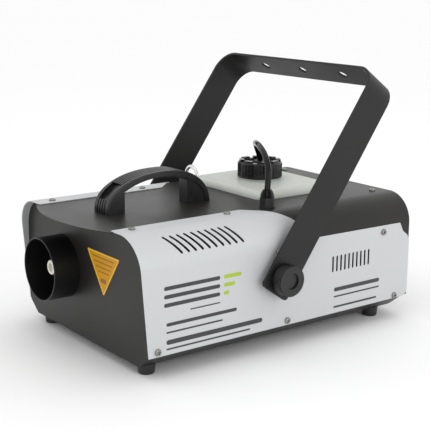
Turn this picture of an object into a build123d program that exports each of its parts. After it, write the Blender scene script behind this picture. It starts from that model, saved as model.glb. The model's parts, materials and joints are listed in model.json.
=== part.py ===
"""Fog machine with a tilting bracket, a carry handle and a lift-off tank cap. Millimetres, +Z up."""
from build123d import *
from math import cos, pi, radians, sin, tan
import os

os.makedirs("parts", exist_ok=True)

# ---- driving dimensions ----
SHEET = 1.2                  # steel sheet of the cover, the base and the end panels
SKIN = 1.0                   # painted side panels laid over the cover
GAP = 0.1                    # air between one sheet and the next
HALF = 137.3                 # half the width over the side panels
TOP = 161.4                  # top face of the side panels
SHOULDER = 37.0              # shoulder radius of the side panels
FRONT = -183.25              # y of the front panel's face
LENGTH = 401.0               # front panel to rear edge
REAR = FRONT + LENGTH
SKIRT = 27.6                 # lower edge of the side panels
FLOOR = 12.4                 # underside of the base
BASE_HALF = 117.1            # half the width of the base's flat
LEAN = 0.0865                # forward lean of the side panels' front edge, per mm of height
HOOD = 34.5                  # how far the hood reaches past the front panel in the middle
HOOD_RADIUS = 189.0
SKIN_EDGE = 81.4             # x of the side panels' inner edge on top
CUT_START = 166.0            # where the 45 degree cut of the side panels starts, from the front panel
BELT = 128.0                 # height of the side panels behind the cut

COVER_HALF = HALF - SKIN - GAP
COVER_TOP = TOP - SKIN - GAP
COVER_SHOULDER = SHOULDER - SKIN - GAP
INNER_HALF = COVER_HALF - SHEET - GAP
INNER_TOP = COVER_TOP - SHEET - GAP
INNER_SHOULDER = COVER_SHOULDER - SHEET - GAP
CHAMFER_TOP = 26.3           # where the base's slanted sides meet its upright flange
FLANGE_TOP = 42.0
REAR_PANEL = FRONT + 388.0   # face of the rear panel is SHEET further back

NOZZLE_X = -47.0
NOZZLE_Z = 91.0
SHROUD_RADIUS = 38.0
SHROUD_REACH = 33.0
TIP_RADIUS = 8.9
TIP_REACH = 18.0             # the ceramic tip in front of the panel

PIVOT_Y = FRONT + 177.1
PIVOT_Z = 91.5
BRACKET_TILT = 35.37         # degrees back from upright, as it stands
BRACKET_REACH = 272.5        # pivot to the outer face of the top bar
BRACKET_HALF = 149.6
BRACKET_PLATE = 3.0
BRACKET_WIDTH = 44.0
BRACKET_END = 20.5           # leg below the pivot
BRACKET_BEND = 27.0
BRACKET_HOLE = 13.5
HOLE_PITCH = 75.0
STUD = 8.0
KNOB_RADIUS = 18.5
KNOB_FACE = 167.0
CLEAR = 0.35                 # between bodies that move against each other
WASHER = 1.2

TANK_LEFT = -92.0
TANK_RIGHT = 54.5
TANK_FRONT = FRONT + 221.0
TANK_REAR = FRONT + 344.0
TANK_FLOOR = 16.0
TANK_TOP = 171.0
TANK_WALL = 2.0
CROWN_RADIUS = 3000.0
CAP_X = -20.0
CAP_Y = FRONT + 280.0
CAP_BASE = 173.5
CAP_TOP = 194.0
NECK_RADIUS = 23.0
HOSE = 7.4                   # outer diameter of the feed hose
HOSE_START = 198.5
BOOT_X = 87.0
BOOT_Y = FRONT + 204.0
BOOT_TOP = 182.4

HANDLE_HALF = 15.5
HANDLE_BAND = 6.5            # thickness of the arched band over the recessed legs
UPPER_VENT = 3.3             # width of the slots in the side panels
LOWER_VENT = 3.0
VENT_MARGIN = 0.8            # how much wider the slots in the cover under them are
FOOT_X = 107.9
FOOT_ROWS = (FRONT + 16.0, FRONT + 364.4)
EYE_X = -57.0
EYE_Y = FRONT + 196.0

SIDE_SCREWS = ((11.6, 33.3), (196.5, 33.1), (377.4, 31.3), (353.1, 118.6), (181.2, 119.4))
TOP_SCREWS = (10.0, 140.9)   # from the front panel, on the top of the side panels
TOP_SCREW_X = 90.1
REAR_SCREW = (87.8, FRONT + 380.6)
SCREW_HOLE = 3.4
SCREW_SHANK = 3.0

AXIS_Y = Axis.Y


def save(builder, name):
    builder.part.label = name
    export_step(builder.part, f"parts/{name}.step")


def across(y):
    """A drawing plane square to the length: x is X, y is Z, and extrude goes towards the rear."""
    return Plane(origin=(0, y, 0), x_dir=(-1, 0, 0), z_dir=(0, 1, 0))


def side(x):
    """A drawing plane square to the width: x is Y, y is Z, and extrude goes towards +X."""
    return Plane.YZ.offset(x)


def arch(half, top, radius, bottom, mode=Mode.ADD):
    """Filled arch: straight sides, round shoulders, flat top."""
    with BuildLine() as outline:
        Line((-half, bottom), (-half, top - radius))
        RadiusArc((-half, top - radius), (radius - half, top), radius)
        Line((radius - half, top), (half - radius, top))
        RadiusArc((half - radius, top), (half, top - radius), radius)
        Line((half, top - radius), (half, bottom))
        Line((half, bottom), (-half, bottom))
    make_face(outline.edges(), mode=mode)


def end_face(inset):
    """Outline of an end panel: the arch with its lower corners cut by the base's slanted sides."""
    half = INNER_HALF - inset
    top = INNER_TOP - inset
    radius = INNER_SHOULDER - inset
    with BuildLine() as outline:
        Line((-half, CHAMFER_TOP), (-half, top - radius))
        RadiusArc((-half, top - radius), (radius - half, top), radius)
        Line((radius - half, top), (half - radius, top))
        RadiusArc((half - radius, top), (half, top - radius), radius)
        Line((half, top - radius), (half, CHAMFER_TOP))
        Line((half, CHAMFER_TOP), (BASE_HALF - inset, FLOOR + inset))
        Line((BASE_HALF - inset, FLOOR + inset), (inset - BASE_HALF, FLOOR + inset))
        Line((inset - BASE_HALF, FLOOR + inset), (-half, CHAMFER_TOP))
    make_face(outline.edges())


# ---- vents, shared by the side panels and the cover behind them ----
UPPER_VENTS = 10
LOWER_VENTS = 10


def cut_vents(sign, width):
    """Ten slanted slots over the shoulder and ten upright slots low at the rear, on one side."""
    angle = radians(49.0)
    upper = Plane(
        origin=(sign * (HALF - SHOULDER + SHOULDER * cos(pi / 2 - angle)), FRONT + 80.6,
                TOP - SHOULDER + SHOULDER * sin(pi / 2 - angle)),
        x_dir=(0, 1, 0),
        z_dir=(sign * sin(angle), 0, cos(angle)),
    )
    with BuildSketch(upper) as slanted:
        with GridLocations(9.42, 1, UPPER_VENTS, 1):
            SlotOverall(29.0, width, rotation=sign * -53.5)
    extrude(slanted.sketch, amount=14, both=True, mode=Mode.SUBTRACT)
    with BuildSketch(side(sign * HALF)) as upright:
        with Locations((FRONT + 298.35, 90.35)):
            with GridLocations(6.7, 1, LOWER_VENTS, 1):
                SlotOverall(20.1, width - UPPER_VENT + LOWER_VENT, rotation=90)
    extrude(upright.sketch, amount=6, both=True, mode=Mode.SUBTRACT)


def cut_screw_holes(sign):
    with BuildSketch(side(sign * HALF)) as level:
        with Locations(*[(FRONT + y, z) for y, z in SIDE_SCREWS]):
            Circle(SCREW_HOLE / 2)
        with Locations((PIVOT_Y, PIVOT_Z)):
            Circle(STUD / 2 + 0.6)
    extrude(level.sketch, amount=6, both=True, mode=Mode.SUBTRACT)
    with BuildSketch(Plane.XY.offset(TOP)) as above:
        with Locations(*[(sign * TOP_SCREW_X, FRONT + y) for y in TOP_SCREWS]):
            Circle(SCREW_HOLE / 2)
    extrude(above.sketch, amount=6, both=True, mode=Mode.SUBTRACT)


# ---- sheet metal ----
def make_top_cover():
    with BuildPart() as cover:
        with BuildSketch(across(FRONT - HOOD - 1)):
            arch(COVER_HALF, COVER_TOP, COVER_SHOULDER, SKIRT + 1)
            arch(COVER_HALF - SHEET, COVER_TOP - SHEET, COVER_SHOULDER - SHEET, 0, Mode.SUBTRACT)
        extrude(amount=HOOD + 1 + LENGTH)
        # the hood's front edge is an arc between the two side panels
        hood_half = SKIN_EDGE + 4
        hood_side = FRONT - HOOD + HOOD_RADIUS - (HOOD_RADIUS**2 - hood_half**2) ** 0.5
        with BuildSketch(Plane.XY.offset(COVER_TOP)):
            with BuildLine():
                ThreePointArc((-hood_half, hood_side), (0, FRONT - HOOD), (hood_half, hood_side))
                Polyline(
                    (hood_half, hood_side),
                    (hood_half, FRONT - HOOD - 10),
                    (-hood_half, FRONT - HOOD - 10),
                    (-hood_half, hood_side),
                )
            make_face()
        extrude(amount=30, both=True, mode=Mode.SUBTRACT)
        for sign in (-1, 1):
            with BuildSketch(Plane.XY) as beside_hood:
                with Locations((sign * (hood_half + HALF), FRONT - HALF)):
                    Rectangle(2 * HALF, 2 * HALF)
            extrude(beside_hood.sketch, amount=TOP, mode=Mode.SUBTRACT)
            cut_vents(sign, UPPER_VENT + VENT_MARGIN)
            cut_screw_holes(sign)
        with BuildSketch(Plane.XY.offset(COVER_TOP)):
            with Locations(((TANK_LEFT + TANK_RIGHT) / 2, (TANK_FRONT + TANK_REAR) / 2)):
                RectangleRounded(TANK_RIGHT - TANK_LEFT + 1.6, TANK_REAR - TANK_FRONT + 1.6, 14.8)
            with Locations((BOOT_X, BOOT_Y)):
                Circle(5)
            with Locations((EYE_X, EYE_Y)):
                Circle(3.2)
            with Locations((0, FRONT + 37), (0, FRONT + 160)):
                Circle(2.6)
            with Locations((REAR_SCREW[0], REAR_SCREW[1]), (-REAR_SCREW[0], REAR_SCREW[1])):
                Circle(SCREW_HOLE / 2)
        extrude(amount=8, both=True, mode=Mode.SUBTRACT)
    save(cover, "top_cover")


def shoulder_point(angle):
    """A point of the 45 degree cut where it runs round the shoulder, angle up from the top."""
    x = HALF - SHOULDER + SHOULDER * sin(angle)
    y = FRONT + CUT_START + (HALF - SHOULDER - SKIN_EDGE) + SHOULDER * angle
    z = TOP - SHOULDER + SHOULDER * cos(angle)
    return x, y, z


def make_side_panel(sign, name):
    steps = [radians(a) for a in (0, 15, 30, 45)]
    over = [shoulder_point(a) for a in steps]
    down = [shoulder_point(radians(a)) for a in (45, 60, 75, 84.3)]
    half_way = over[-1]
    with BuildPart() as panel:
        with BuildSketch(across(FRONT - 20)):
            arch(HALF, TOP, SHOULDER, SKIRT)
            arch(HALF - SKIN, TOP - SKIN, SHOULDER - SKIN, 0, Mode.SUBTRACT)
        extrude(amount=20 + LENGTH)
        with BuildSketch(Plane.XY):
            with BuildLine():
                Polyline((sign * SKIN_EDGE, FRONT - 30), (sign * SKIN_EDGE, FRONT + CUT_START),
                         (sign * over[0][0], over[0][1]))
                Spline(*[(sign * p[0], p[1]) for p in over])
                Polyline((sign * half_way[0], half_way[1]), (sign * half_way[0], REAR + 5),
                         (sign * 150, REAR + 5), (sign * 150, FRONT - 30),
                         (sign * SKIN_EDGE, FRONT - 30))
            make_face()
        extrude(amount=200, mode=Mode.INTERSECT)
        with BuildSketch(side(sign * 60)):
            with BuildLine():
                Polyline((FRONT, SKIRT), (FRONT - LEAN * (200 - SKIRT), 200),
                         (half_way[1], 200), (half_way[1], half_way[2]))
                Spline(*[(p[1], p[2]) for p in down])
                Polyline((down[-1][1], down[-1][2]), (FRONT + 383, BELT - 1.5),
                         (FRONT + 389, BELT - 13), (FRONT + 397, BELT - 19), (REAR, BELT - 26),
                         (REAR, SKIRT), (FRONT, SKIRT))
            make_face()
            rear_low = [v for v in vertices() if abs(v.X - REAR) < 0.1 and abs(v.Y - SKIRT) < 0.1]
            belt_end = [v for v in vertices() if abs(v.X - FRONT - 383) < 0.1]
            belt_start = [v for v in vertices() if abs(v.X - down[-1][1]) < 0.1]
            fillet(rear_low, 10)
            fillet(belt_end + belt_start, 4)
        extrude(amount=sign * 90, mode=Mode.INTERSECT)
        cut_vents(sign, UPPER_VENT)
        cut_screw_holes(sign)
    save(panel, name)


def make_front_panel():
    with BuildPart() as panel:
        with BuildSketch(across(FRONT)):
            end_face(0)
            with Locations((-NOZZLE_X, NOZZLE_Z)):
                Circle(SHROUD_RADIUS + 0.2, mode=Mode.SUBTRACT)
        extrude(amount=SHEET)
        # flange folded back under the cover
        with BuildSketch(across(FRONT + SHEET)):
            arch(INNER_HALF, INNER_TOP, INNER_SHOULDER, 60)
            arch(INNER_HALF - SHEET, INNER_TOP - SHEET, INNER_SHOULDER - SHEET, 0, Mode.SUBTRACT)
        extrude(amount=12)
        with BuildSketch(Plane.XY.offset(TOP)):
            with Locations(*[(s * TOP_SCREW_X, FRONT + TOP_SCREWS[0]) for s in (-1, 1)]):
                Circle(SCREW_HOLE / 2)
        extrude(amount=8, both=True, mode=Mode.SUBTRACT)
    save(panel, "front_panel")


def make_base_tray():
    with BuildPart() as tray:
        with BuildSketch(across(FRONT + SHEET)):
            with BuildLine():
                Polyline((-INNER_HALF, FLANGE_TOP), (-INNER_HALF, CHAMFER_TOP),
                         (-BASE_HALF, FLOOR), (BASE_HALF, FLOOR), (INNER_HALF, CHAMFER_TOP),
                         (INNER_HALF, FLANGE_TOP), close=True)
            make_face()
        extrude(amount=LENGTH - SHEET)
        rear_edges = tray.faces().sort_by(AXIS_Y)[-1].edges().filter_by(lambda e: e.center().Z < 25)
        fillet(rear_edges, 12)
        top = tray.faces().sort_by(Axis.Z)[-1]
        front = tray.faces().sort_by(AXIS_Y)[0]
        offset(amount=-SHEET, openings=[top, front])
        with BuildSketch(Plane.XY.offset(30)):
            with Locations((0, REAR)):
                Rectangle(300, 3)
        extrude(amount=30, mode=Mode.SUBTRACT)
        with BuildSketch(Plane.XY.offset(FLOOR)):
            with Locations(*[(s * FOOT_X, y) for s in (-1, 1) for y in FOOT_ROWS]):
                Circle(2.2)
        extrude(amount=4, both=True, mode=Mode.SUBTRACT)
        # cooling slots under the heater
        with BuildSketch(Plane.XY.offset(FLOOR)):
            with Locations((NOZZLE_X, FRONT + 110)):
                with GridLocations(9, 1, 8, 1):
                    SlotOverall(60, 3.5, rotation=90)
        extrude(amount=4, both=True, mode=Mode.SUBTRACT)
        for sign in (-1, 1):
            with BuildSketch(side(sign * HALF)):
                with Locations(*[(FRONT + y, z) for y, z in SIDE_SCREWS if z < 50]):
                    Circle(SCREW_HOLE / 2)
            extrude(amount=6, both=True, mode=Mode.SUBTRACT)
    save(tray, "base_tray")


IEC = (95.0, 52.0)           # x, z of the power inlet on the rear panel
SWITCH = (95.0, 88.0)
XLR_IN = (78.0, 124.0)
XLR_OUT = (112.0, 124.0)
DISPLAY = (-20.0, 104.0)
BUTTON_PITCH = 15.0
BUTTON_DROP = 16.0           # buttons below the display's centre


def make_rear_panel():
    with BuildPart() as panel:
        with BuildSketch(across(REAR_PANEL)):
            end_face(SHEET + GAP + 0.7)
            with Locations((-IEC[0], IEC[1])):
                Rectangle(28.4, 47.4, mode=Mode.SUBTRACT)
            with Locations((-SWITCH[0], SWITCH[1])):
                Rectangle(22.4, 13.4, mode=Mode.SUBTRACT)
            with Locations((-XLR_IN[0], XLR_IN[1]), (-XLR_OUT[0], XLR_OUT[1])):
                Circle(12, mode=Mode.SUBTRACT)
            with Locations((-DISPLAY[0], DISPLAY[1] + 8)):
                Rectangle(54, 20, mode=Mode.SUBTRACT)
            with Locations((-DISPLAY[0], DISPLAY[1] - BUTTON_DROP)):
                with GridLocations(BUTTON_PITCH, 1, 4, 1):
                    Circle(4.4, mode=Mode.SUBTRACT)
            with Locations((-DISPLAY[0], DISPLAY[1] - 2)):
                with GridLocations(86, 46, 2, 2):
                    Circle(1.7, mode=Mode.SUBTRACT)
            with Locations((40, 46)):
                with GridLocations(9, 1, 9, 1):
                    SlotOverall(36, 3.2, rotation=90, mode=Mode.SUBTRACT)
        extrude(amount=SHEET)
    save(panel, "rear_panel")


# ---- fasteners ----
def screw_solid(radius=4.0, height=2.4, shank=SCREW_SHANK, length=7.0):
    """A cross-recessed pan-head screw with its head on z = 0 and its shank below."""
    with BuildPart(mode=Mode.PRIVATE) as screw:
        Cylinder(radius, height, align=(Align.CENTER, Align.CENTER, Align.MIN))
        fillet(screw.edges().group_by(Axis.Z)[-1], height * 0.6)
        Cylinder(shank / 2, length, align=(Align.CENTER, Align.CENTER, Align.MAX))
        with BuildSketch(Plane.XY.offset(height)):
            Rectangle(radius * 1.15, 0.9)
            Rectangle(0.9, radius * 1.15)
        extrude(amount=-1.3, mode=Mode.SUBTRACT)
    return screw.part


def make_screws():
    small = screw_solid()
    with BuildPart() as screws:
        for sign in (-1, 1):
            for index, (y, z) in enumerate(SIDE_SCREWS):
                face = Plane(origin=(sign * HALF, FRONT + y, z), z_dir=(sign, 0, 0))
                with Locations(Location(face) * Rotation(0, 0, 20 + 37 * index)):
                    add(small)
            for index, y in enumerate(TOP_SCREWS):
                with Locations(Location((sign * TOP_SCREW_X, FRONT + y, TOP), (0, 0, 30 + 25 * index))):
                    add(small)
            with Locations(Location((sign * REAR_SCREW[0], REAR_SCREW[1], COVER_TOP), (0, 0, 15 * sign))):
                add(small)
    save(screws, "panel_screws")


def make_feet():
    with BuildPart() as feet:
        with Locations(*[(s * FOOT_X, y, 0) for s in (-1, 1) for y in FOOT_ROWS]):
            Cone(9.2, 10.4, FLOOR, align=(Align.CENTER, Align.CENTER, Align.MIN))
        fillet(feet.edges().group_by(Axis.Z)[0], 1.5)
        with Locations(*[(s * FOOT_X, y, 0) for s in (-1, 1) for y in FOOT_ROWS]):
            Cylinder(4.6, 6.0, align=(Align.CENTER, Align.CENTER, Align.MIN), mode=Mode.SUBTRACT)
            Cylinder(2.1, FLOOR, align=(Align.CENTER, Align.CENTER, Align.MIN), mode=Mode.SUBTRACT)
    save(feet, "rubber_feet")
    bolt = screw_solid(4.0, 2.4, 4.0, 13.0)
    with BuildPart() as screws:
        for sign in (-1, 1):
            for y in FOOT_ROWS:
                with Locations(Location((sign * FOOT_X, y, 6.0), (180, 0, 0))):
                    add(bolt)
        with BuildSketch(Plane.XY.offset(FLOOR + SHEET)):
            with Locations(*[(s * FOOT_X, y) for s in (-1, 1) for y in FOOT_ROWS]):
                RegularPolygon(3.6, 6, major_radius=False)
                Circle(2.1, mode=Mode.SUBTRACT)
        extrude(amount=3.2)
    save(screws, "foot_bolts")


# ---- carry handle ----
def handle_outline(inset):
    """The handle's outer curve from the front foot over the grip to the rear foot."""
    points = [
        (25 + inset, COVER_TOP),
        (29 + inset, 178.5 - 0.3 * inset),
        (47 + 0.6 * inset, 193 - 0.8 * inset),
        (98, 204.3 - inset),
        (142 - 0.5 * inset, 198.3 - inset),
        (165 - inset, 181 - 0.4 * inset),
        (172 - inset, COVER_TOP),
    ]
    return [(FRONT + y, z) for y, z in points]


def handle_grooves(inset, places, width, first, last):
    """Grooves in the handle's outer face, between two of the outline's points."""
    reach = 30.0
    for x in places:
        with BuildSketch(side(x - width / 2)) as groove:
            with BuildLine():
                floor = Spline(*handle_outline(inset)[first:last])
                Line(floor @ 1, floor @ 1 + Vector(0, reach))
                Line(floor @ 1 + Vector(0, reach), floor @ 0 + Vector(-reach, reach))
                Line(floor @ 0 + Vector(-reach, reach), floor @ 0 + Vector(-reach, 0))
                Line(floor @ 0 + Vector(-reach, 0), floor @ 0)
            make_face()
        extrude(groove.sketch, amount=width, mode=Mode.SUBTRACT)


def make_handle():
    pocket_half = 8.6
    pocket_depth = 4.2
    front_foot = FRONT + 49
    rear_foot = FRONT + 138
    screws_at = ((0, FRONT + 37), (0, FRONT + 160))
    with BuildPart() as handle:
        with BuildSketch(side(-HANDLE_HALF)):
            with BuildLine():
                outer = Spline(*handle_outline(0))
                Line(outer @ 1, (rear_foot, COVER_TOP))
                Line((rear_foot, COVER_TOP), (rear_foot, 189.5))
                Spline((rear_foot, 189.5), (FRONT + 124, 194.2), (FRONT + 106, 197.0), (FRONT + 88, 196.6),
                       (FRONT + 65.6, 192.0), (front_foot, 185.0))
                Line((front_foot, 185.0), (front_foot, COVER_TOP))
                Line((front_foot, COVER_TOP), outer @ 0)
            make_face()
        extrude(amount=2 * HANDLE_HALF)
        rims = handle.edges().filter_by(
            lambda e: abs(abs(e.center().X) - HANDLE_HALF) < 0.1 and e.length > 100
        )
        fillet(rims, 1.4)
        # the legs stand back from the arched band
        for sign in (-1, 1):
            with BuildSketch(side(sign * (HANDLE_HALF - 1.2))) as recess:
                with BuildLine():
                    under = Spline(*handle_outline(HANDLE_BAND))
                    Line(under @ 1, under @ 0)
                make_face()
            extrude(recess.sketch, amount=sign * 5, mode=Mode.SUBTRACT)
        handle_grooves(1.2, (-9.6, -4.8, 0, 4.8, 9.6), 1.8, 2, 6)
        handle_grooves(1.0, (-7.5, -2.5, 2.5, 7.5), 1.8, 0, 3)
        # deep pocket in the front shoulder
        low = Vector(FRONT + 27.0, 178.5)
        high = Vector(FRONT + 47.5, 194.0)
        outward = Vector(low.Y - high.Y, high.X - low.X).normalized()
        with BuildSketch(side(-pocket_half)) as pocket:
            with BuildLine():
                Polyline(low - outward * pocket_depth, high - outward * pocket_depth,
                         high + outward * pocket_depth, low + outward * pocket_depth, close=True)
            make_face()
        extrude(pocket.sketch, amount=2 * pocket_half, mode=Mode.SUBTRACT)
        # screw pilots from below
        with BuildSketch(Plane.XY.offset(COVER_TOP)):
            with Locations(*screws_at):
                Circle(2.55)
        extrude(amount=12, mode=Mode.SUBTRACT)
    save(handle, "carry_handle")
    bolt = screw_solid(4.5, 2.6, 5.0, 12.0)
    with BuildPart() as screws:
        for x, y in screws_at:
            with Locations(Location((x, y, COVER_TOP - SHEET), (180, 0, 0))):
                add(bolt)
    save(screws, "handle_screws")


# ---- nozzle ----
def nozzle_plane(depth):
    """Plane square to the nozzle's axis, depth behind the front panel's face; extrude goes to the rear."""
    return Plane(origin=(NOZZLE_X, FRONT + depth, NOZZLE_Z), x_dir=(-1, 0, 0), z_dir=(0, 1, 0))


def make_nozzle():
    with BuildPart() as shroud:
        with BuildSketch(nozzle_plane(-SHROUD_REACH)):
            Circle(SHROUD_RADIUS)
            Circle(SHROUD_RADIUS - 1.2, mode=Mode.SUBTRACT)
        extrude(amount=SHROUD_REACH + SHEET)
        with BuildSketch(nozzle_plane(SHEET)):
            Circle(SHROUD_RADIUS + 6)
            Circle(SHROUD_RADIUS - 1.2, mode=Mode.SUBTRACT)
        extrude(amount=SHEET)
        fillet(shroud.edges().group_by(AXIS_Y)[0], 0.3)
    save(shroud, "nozzle_shroud")
    with BuildPart() as baffle:
        with BuildSketch(nozzle_plane(0.6)):
            Circle(SHROUD_RADIUS - 1.4)
            Circle(12.5, mode=Mode.SUBTRACT)
            with PolarLocations(24, 12):
                SlotOverall(13, 3.2, mode=Mode.SUBTRACT)
        extrude(amount=1.0)
        with BuildSketch(nozzle_plane(-3.4)):
            Circle(14.0)
            Circle(12.5, mode=Mode.SUBTRACT)
        extrude(amount=4.0)
    save(baffle, "nozzle_baffle")
    with BuildPart() as tip:
        with BuildSketch(nozzle_plane(-TIP_REACH)):
            Circle(TIP_RADIUS)
        extrude(amount=TIP_REACH - 4)
        with BuildSketch(nozzle_plane(-4)):
            RegularPolygon(8.5, 6)
        extrude(amount=8)
        with BuildSketch(nozzle_plane(4)):
            Circle(6)
        extrude(amount=26)
        fillet(tip.edges().group_by(AXIS_Y)[0], 1.2)
        with BuildSketch(nozzle_plane(-TIP_REACH)):
            Circle(5.2)
        extrude(amount=6, mode=Mode.SUBTRACT)
        with BuildSketch(nozzle_plane(-TIP_REACH)):
            Circle(1.4)
        extrude(amount=50, mode=Mode.SUBTRACT)
    save(tip, "nozzle_tip")


# ---- heater ----
HEATER_FRONT = 30.0          # from the front panel
HEATER_LENGTH = 150.0
HEATER_HALF = 26.0
WRAP = 9.0


def make_heater():
    with BuildPart() as block:
        with BuildSketch(nozzle_plane(HEATER_FRONT)):
            RectangleRounded(2 * HEATER_HALF, 2 * HEATER_HALF, 5)
            with Locations((-14, -14)):
                Circle(6.2, mode=Mode.SUBTRACT)
            with Locations((14, 14)):
                Circle(4.2, mode=Mode.SUBTRACT)
        extrude(amount=HEATER_LENGTH)
    save(block, "heater_block")
    with BuildPart() as element:
        with BuildSketch(nozzle_plane(HEATER_FRONT + 4)):
            with Locations((-14, -14)):
                Circle(6)
        extrude(amount=HEATER_LENGTH)
        with BuildSketch(nozzle_plane(HEATER_FRONT + HEATER_LENGTH + 4)):
            with Locations((-17, -14), (-11, -14)):
                Circle(1.5)
        extrude(amount=9)
    save(element, "heating_element")
    with BuildPart() as wrap:
        with BuildSketch(nozzle_plane(HEATER_FRONT + 4)):
            RectangleRounded(2 * (HEATER_HALF + WRAP), 2 * (HEATER_HALF + WRAP), 9)
            RectangleRounded(2 * HEATER_HALF + 0.4, 2 * HEATER_HALF + 0.4, 5.2, mode=Mode.SUBTRACT)
        extrude(amount=HEATER_LENGTH - 8)
    save(wrap, "heater_insulation")
    with BuildPart() as cradle:
        outer = HEATER_HALF + WRAP + 0.3
        for start in (HEATER_FRONT + 14, HEATER_FRONT + HEATER_LENGTH - 34):
            with BuildSketch(nozzle_plane(start)):
                with BuildLine():
                    Polyline((-outer, 20), (-outer, -outer), (outer, -outer), (outer, 20),
                             (outer + 1.5, 20), (outer + 1.5, FLOOR + SHEET + 1.5 - NOZZLE_Z),
                             (outer + 14, FLOOR + SHEET + 1.5 - NOZZLE_Z),
                             (outer + 14, FLOOR + SHEET - NOZZLE_Z), (outer, FLOOR + SHEET - NOZZLE_Z),
                             (outer, -outer - 1.5), (-outer, -outer - 1.5),
                             (-outer, FLOOR + SHEET - NOZZLE_Z), (-outer - 14, FLOOR + SHEET - NOZZLE_Z),
                             (-outer - 14, FLOOR + SHEET + 1.5 - NOZZLE_Z),
                             (-outer - 1.5, FLOOR + SHEET + 1.5 - NOZZLE_Z), (-outer - 1.5, 20), close=True)
                make_face()
            extrude(amount=20)
    save(cradle, "heater_cradles")
    with BuildPart() as stat:
        with BuildSketch(nozzle_plane(HEATER_FRONT + HEATER_LENGTH)):
            with Locations((12, -12)):
                Circle(8)
        extrude(amount=5)
        with BuildSketch(nozzle_plane(HEATER_FRONT + HEATER_LENGTH + 5)):
            with Locations((8, -12), (16, -12)):
                Rectangle(1, 5)
        extrude(amount=8)
        with BuildSketch(nozzle_plane(HEATER_FRONT + HEATER_LENGTH)):
            with Locations((-12, 12)):
                Circle(4.5)
        extrude(amount=12)
    save(stat, "thermostat_and_cutout")


# ---- pump ----
PUMP_X = 58.0
PUMP_Z = 52.0
PUMP_FRONT = 60.0            # from the front panel


def pump_plane(depth):
    return Plane(origin=(PUMP_X, FRONT + PUMP_FRONT + depth, PUMP_Z), x_dir=(-1, 0, 0), z_dir=(0, 1, 0))


def make_pump():
    with BuildPart() as coil:
        with BuildSketch(pump_plane(20)):
            Circle(19)
            Circle(9.2, mode=Mode.SUBTRACT)
        extrude(amount=40)
    save(coil, "pump_coil")
    with BuildPart() as frame:
        with BuildSketch(pump_plane(16.5)):
            Rectangle(44, 44)
            Circle(9.2, mode=Mode.SUBTRACT)
        extrude(amount=3)
        with BuildSketch(pump_plane(60.5)):
            Rectangle(44, 44)
            Circle(9.2, mode=Mode.SUBTRACT)
        extrude(amount=3)
        with BuildSketch(pump_plane(19.5)):
            with Locations((0, 20.7)):
                Rectangle(44, 2.6)
        extrude(amount=41)
    save(frame, "pump_yoke")
    with BuildPart() as body:
        with BuildSketch(pump_plane(-6)):
            Circle(4.0)
        extrude(amount=14)
        with BuildSketch(pump_plane(0)):
            Circle(13)
        extrude(amount=14)
        with BuildSketch(pump_plane(14)):
            Circle(9)
        extrude(amount=58)
        with BuildSketch(pump_plane(66)):
            Circle(12)
        extrude(amount=8)
        with BuildSketch(pump_plane(74)):
            Circle(4.0)
        extrude(amount=12)
        with BuildSketch(pump_plane(8)):
            Circle(7.4)
        extrude(amount=58, mode=Mode.SUBTRACT)
        with BuildSketch(pump_plane(-6)):
            Circle(1.6)
        extrude(amount=93, mode=Mode.SUBTRACT)
    save(body, "pump_body")
    with BuildPart() as plunger:
        with BuildSketch(pump_plane(24)):
            Circle(6.9)
            Circle(2.2, mode=Mode.SUBTRACT)
        extrude(amount=32)
    save(plunger, "pump_plunger")
    with BuildPart() as mount:
        with BuildSketch(pump_plane(16.5)):
            with Locations((0, -24.2)):
                Rectangle(44, 4)
        extrude(amount=47)
        with BuildSketch(Plane.XY.offset(FLOOR + SHEET)):
            with Locations((PUMP_X, FRONT + PUMP_FRONT + 40)):
                with GridLocations(30, 32, 2, 2):
                    Circle(5)
        extrude(amount=PUMP_Z - 26.2 - FLOOR - SHEET)
    save(mount, "pump_rubber_mount")


# ---- fluid lines ----
def path_radii(points):
    """Arc radii for a route: 0.45 of the shorter run beside each point, over the tangent of half the turn."""
    vectors = [Vector(*p) for p in points]
    radii = []
    for before, here, after in zip(vectors, vectors[1:], vectors[2:]):
        run_in = here - before
        run_out = after - here
        turn = radians(run_in.get_angle(run_out))
        radii.append(0.45 * min(run_in.length, run_out.length) / tan(turn / 2))
    return radii


def make_line(points, diameter, name, bore=0.0):
    """A round line along straight runs joined by tangent arcs."""
    radii = path_radii(points)
    with BuildPart() as line:
        with BuildLine() as route:
            FilletPolyline(*points, radius=radii)
        wire = route.wires()[0]
        start = Plane(origin=wire @ 0, z_dir=wire % 0)
        with BuildSketch(start):
            Circle(diameter / 2)
            if bore:
                Circle(bore / 2, mode=Mode.SUBTRACT)
        sweep()
    section = pi * (diameter**2 - bore**2) / 4
    print(name, "radii", [round(r, 1) for r in radii], "length", round(wire.length, 1),
          "volume ratio", round(line.part.volume / (section * wire.length), 4))
    save(line, name)


def hose_route():
    """The free hose from the cap over to the boot."""
    return [
        (CAP_X, CAP_Y, HOSE_START),
        (CAP_X + 4, CAP_Y - 8, 211),
        (CAP_X + 14, CAP_Y - 20, 221),
        (CAP_X + 35, CAP_Y - 36, 226),
        (CAP_X + 64, CAP_Y - 54, 228),
        (CAP_X + 91, CAP_Y - 66, 220),
        (CAP_X + 105, CAP_Y - 72, 203),
        (BOOT_X, BOOT_Y, BOOT_TOP),
    ]


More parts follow.
